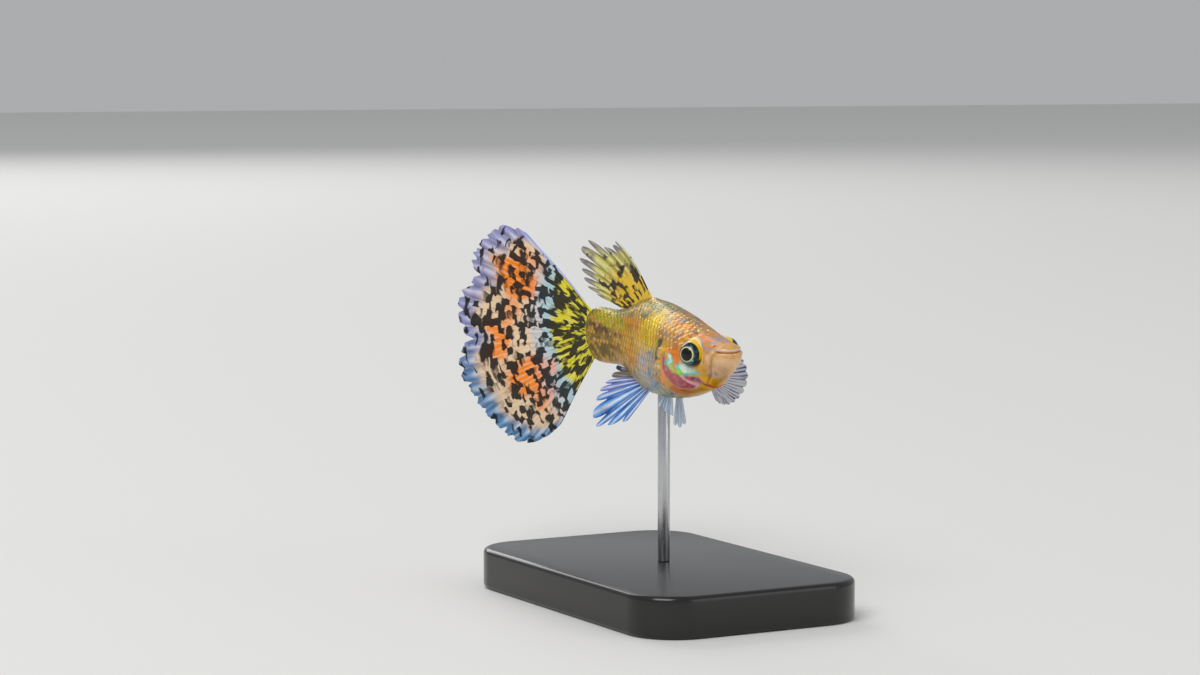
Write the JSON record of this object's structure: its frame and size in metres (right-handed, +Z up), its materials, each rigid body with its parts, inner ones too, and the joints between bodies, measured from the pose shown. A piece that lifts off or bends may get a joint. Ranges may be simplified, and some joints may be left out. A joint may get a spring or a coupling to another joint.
{
  "type": "guppy display model",
  "caption": "Life-size model of a fancy male guppy with a broad fan tail, held above a flat rounded base by a slender rod.",
  "frame": {"origin": "middle of the stand's underside, straight below the rod", "axes": "+Z up, +X towards the snout, +Y to the fish's left"},
  "size_m": [0.052, 0.024, 0.0357],
  "materials": {
    "head_skin": "moist skin over bone, gold to peach",
    "body_skin": "fine wet scales, gold with orange and olive",
    "stalk_skin": "fine wet scales, olive and brown",
    "eye": "polished, black pupil in a gold and teal iris",
    "gill_cover": "wet, pink with silver-green gloss",
    "tail_fin": "thin rayed membrane, orange, cream and black mosaic",
    "dorsal_fin": "thin rayed membrane, yellow with black blotches",
    "anal_fin": "thin rayed membrane, bright blue",
    "clear_fin": "thin rayed membrane, pale blue",
    "stand_rod": "bright drawn rod",
    "stand_base": "smooth black acrylic"
  },
  "bodies": {
    "root": {"head": "head_skin", "lower_jaw": "head_skin", "torso": "body_skin", "tail_stalk": "stalk_skin", "eye_right": "eye", "eye_left": "eye", "gill_cover_right": "gill_cover", "gill_cover_left": "gill_cover", "tail_fin": "tail_fin", "dorsal_fin": "dorsal_fin", "anal_fin": "anal_fin", "pelvic_fin_right": "clear_fin", "pelvic_fin_left": "clear_fin", "pectoral_fin_right": "clear_fin", "pectoral_fin_left": "clear_fin", "stand_rod": "stand_rod", "stand_base": "stand_base"}
  },
  "joints": []
}
